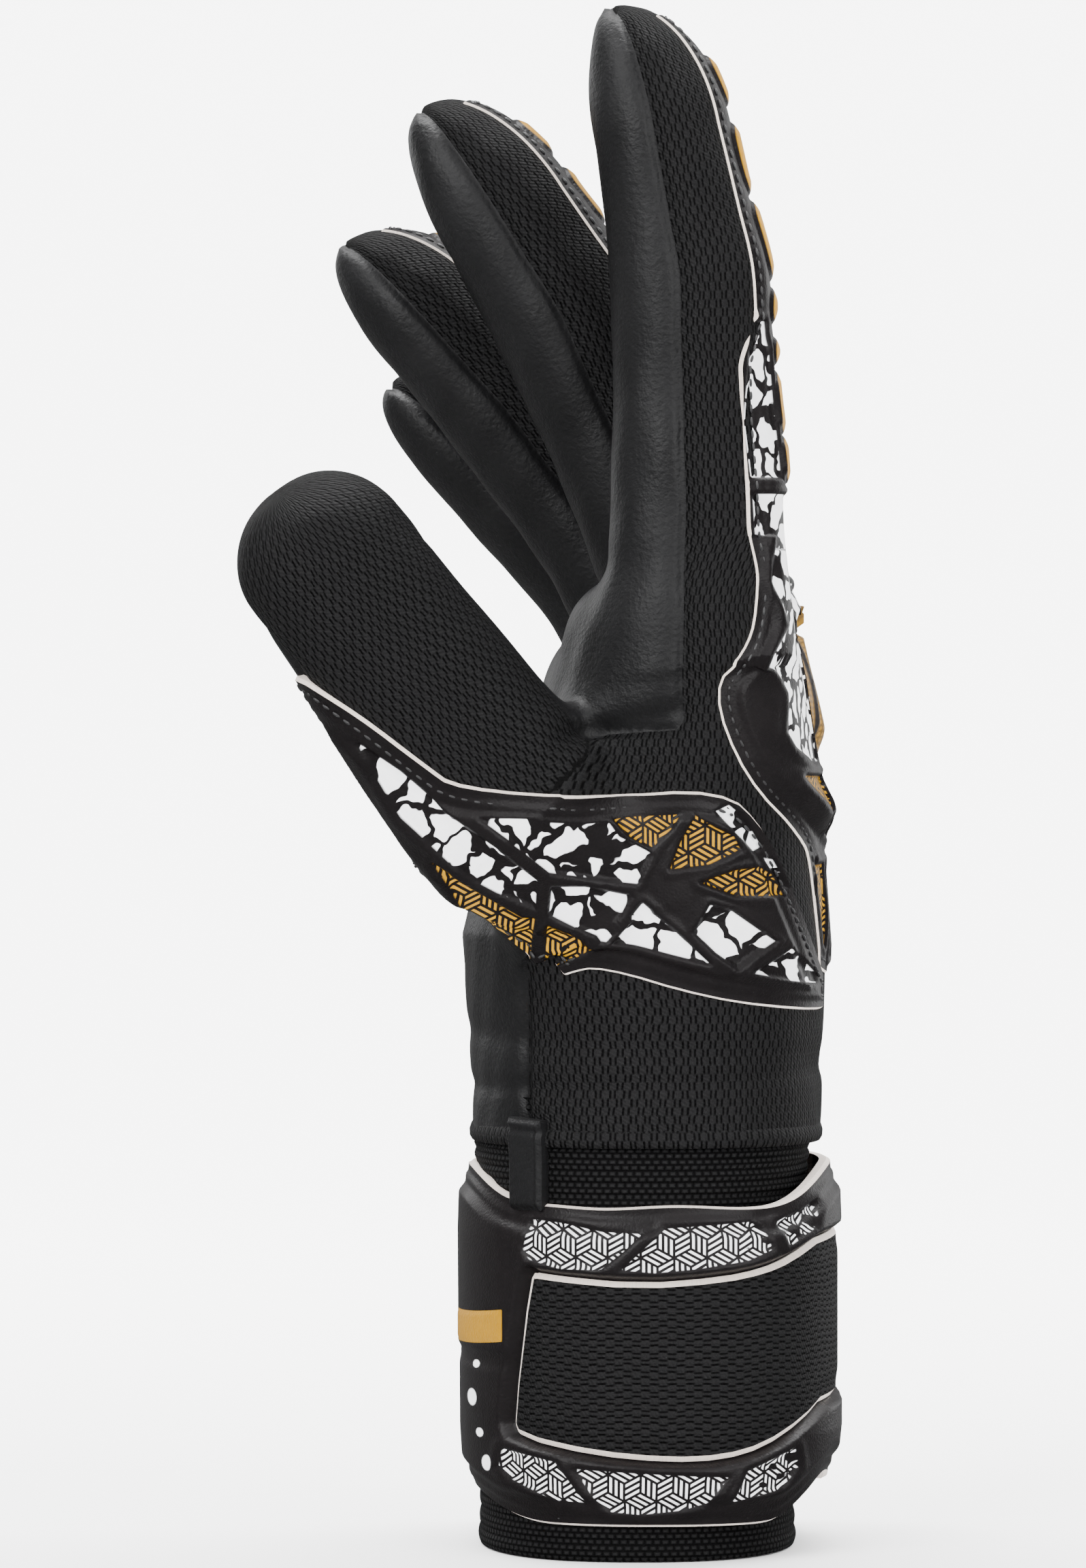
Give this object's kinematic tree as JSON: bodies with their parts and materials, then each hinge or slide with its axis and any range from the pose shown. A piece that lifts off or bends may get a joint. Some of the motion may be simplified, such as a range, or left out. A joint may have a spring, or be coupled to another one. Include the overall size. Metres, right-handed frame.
{
  "type": "goalkeeper glove",
  "caption": "Right-hand goalkeeper glove with curved fingers, latex palm, raised backhand panels and a wraparound wrist strap.",
  "frame": {"origin": "middle of the footprint of the bounding box, at the bottom rim of the cuff", "axes": "+Z from the cuff to the fingertips, +X out of the back of the hand, -X out of the palm, -Y the thumb side"},
  "size_m": [0.1065, 0.1296, 0.279],
  "materials": {
    "latex": "matte latex foam",
    "air_mesh": "ribbed air mesh",
    "stretch": "stretch knit",
    "knit": "elastic rib knit",
    "lining": "towelling",
    "hook_and_loop": "hook and loop",
    "gold_band": "satin print on a raised band",
    "guard": "satin moulded guard",
    "embossed_panel": "satin embossed synthetic"
  },
  "bodies": {
    "hand": {"palm_latex": "latex", "body_mesh": "air_mesh", "backhand_panel": "embossed_panel", "knuckle_guard": "guard", "thumb_panel": "embossed_panel", "palm_lining": "lining", "wrist_bandage": "knit", "pull_tab": "latex", "cuff_knit": "knit", "strap_body": "embossed_panel", "strap_mesh_inset": "air_mesh", "loop_patch": "hook_and_loop", "strap_label": "gold_band", "index_knuckle_flex": "stretch", "middle_knuckle_flex": "stretch", "ring_knuckle_flex": "stretch", "little_knuckle_flex": "stretch", "thumb_root_flex": "stretch"},
    "strap_tab": {"strap_tab": "embossed_panel", "hook_patch": "hook_and_loop"},
    "index_base": {"index_palm_base": "latex", "index_gusset_base": "air_mesh", "index_back_base": "embossed_panel", "index_joint_flex": "stretch"},
    "index_tip": {"index_palm_tip": "latex", "index_gusset_tip": "air_mesh", "index_back_tip": "embossed_panel"},
    "middle_base": {"middle_palm_base": "latex", "middle_gusset_base": "air_mesh", "middle_back_base": "embossed_panel", "middle_joint_flex": "stretch"},
    "middle_tip": {"middle_palm_tip": "latex", "middle_gusset_tip": "air_mesh", "middle_back_tip": "embossed_panel"},
    "ring_base": {"ring_palm_base": "latex", "ring_gusset_base": "air_mesh", "ring_back_base": "embossed_panel", "ring_joint_flex": "stretch"},
    "ring_tip": {"ring_palm_tip": "latex", "ring_gusset_tip": "air_mesh", "ring_back_tip": "embossed_panel"},
    "little_base": {"little_palm_base": "latex", "little_gusset_base": "air_mesh", "little_back_base": "embossed_panel", "little_joint_flex": "stretch"},
    "little_tip": {"little_palm_tip": "latex", "little_gusset_tip": "air_mesh", "little_back_tip": "embossed_panel"},
    "thumb_base": {"thumb_palm_base": "latex", "thumb_mesh_base": "air_mesh", "thumb_panel_end": "embossed_panel", "thumb_joint_flex": "stretch"},
    "thumb_tip": {"thumb_palm_tip": "latex", "thumb_mesh_tip": "air_mesh"}
  },
  "joints": [
    {"name": "index_knuckle", "type": "hinge", "parent": "hand", "child": "index_base", "pos_m": [0.0281, -0.0244, 0.184], "axis": [0, -1, 0], "range_deg": [-10, 45], "stiffness_Nm_per_rad": 0.3, "deforming": ["index_knuckle_flex"]},
    {"name": "index_middle_joint", "type": "hinge", "parent": "index_base", "child": "index_tip", "pos_m": [0.02646, -0.0244, 0.23097], "axis": [0, -1, 0], "range_deg": [-5, 45], "stiffness_Nm_per_rad": 0.3, "deforming": ["index_joint_flex"]},
    {"name": "middle_knuckle", "type": "hinge", "parent": "hand", "child": "middle_base", "pos_m": [0.0239, 0.0016, 0.1845], "axis": [0, -1, 0], "range_deg": [-10, 45], "stiffness_Nm_per_rad": 0.3, "deforming": ["middle_knuckle_flex"]},
    {"name": "middle_middle_joint", "type": "hinge", "parent": "middle_base", "child": "middle_tip", "pos_m": [0.00446, 0.0016, 0.22619], "axis": [0, -1, 0], "range_deg": [-5, 45], "stiffness_Nm_per_rad": 0.3, "deforming": ["middle_joint_flex"]},
    {"name": "ring_knuckle", "type": "hinge", "parent": "hand", "child": "ring_base", "pos_m": [0.0171, 0.0268, 0.179], "axis": [0, -1, 0], "range_deg": [-10, 45], "stiffness_Nm_per_rad": 0.3, "deforming": ["ring_knuckle_flex"]},
    {"name": "ring_middle_joint", "type": "hinge", "parent": "ring_base", "child": "ring_tip", "pos_m": [-0.00577, 0.0268, 0.20935], "axis": [0, -1, 0], "range_deg": [-5, 45], "stiffness_Nm_per_rad": 0.3, "deforming": ["ring_joint_flex"]},
    {"name": "little_knuckle", "type": "hinge", "parent": "hand", "child": "little_base", "pos_m": [0.0155, 0.0512, 0.1692], "axis": [0, -1, 0], "range_deg": [-10, 45], "stiffness_Nm_per_rad": 0.3, "deforming": ["little_knuckle_flex"]},
    {"name": "little_middle_joint", "type": "hinge", "parent": "little_base", "child": "little_tip", "pos_m": [-0.00378, 0.0512, 0.19218], "axis": [0, -1, 0], "range_deg": [-5, 45], "stiffness_Nm_per_rad": 0.3, "deforming": ["little_joint_flex"]},
    {"name": "thumb_root", "type": "hinge", "parent": "hand", "child": "thumb_base", "pos_m": [-0.0136, -0.0378, 0.1475], "axis": [0.7985, 0, 0.602], "range_deg": [-25, 8], "stiffness_Nm_per_rad": 0.3, "deforming": ["thumb_root_flex"]},
    {"name": "thumb_joint", "type": "hinge", "parent": "thumb_base", "child": "thumb_tip", "pos_m": [-0.02783, -0.04593, 0.16638], "axis": [0.7985, 0, 0.602], "range_deg": [-35, 5], "stiffness_Nm_per_rad": 0.3, "deforming": ["thumb_joint_flex"]},
    {"name": "strap_hinge", "type": "hinge", "parent": "hand", "child": "strap_tab", "pos_m": [-0.01317, 0.02629, 0.0415], "axis": [0, 0, 1], "range_deg": [0, 100]}
  ]
}
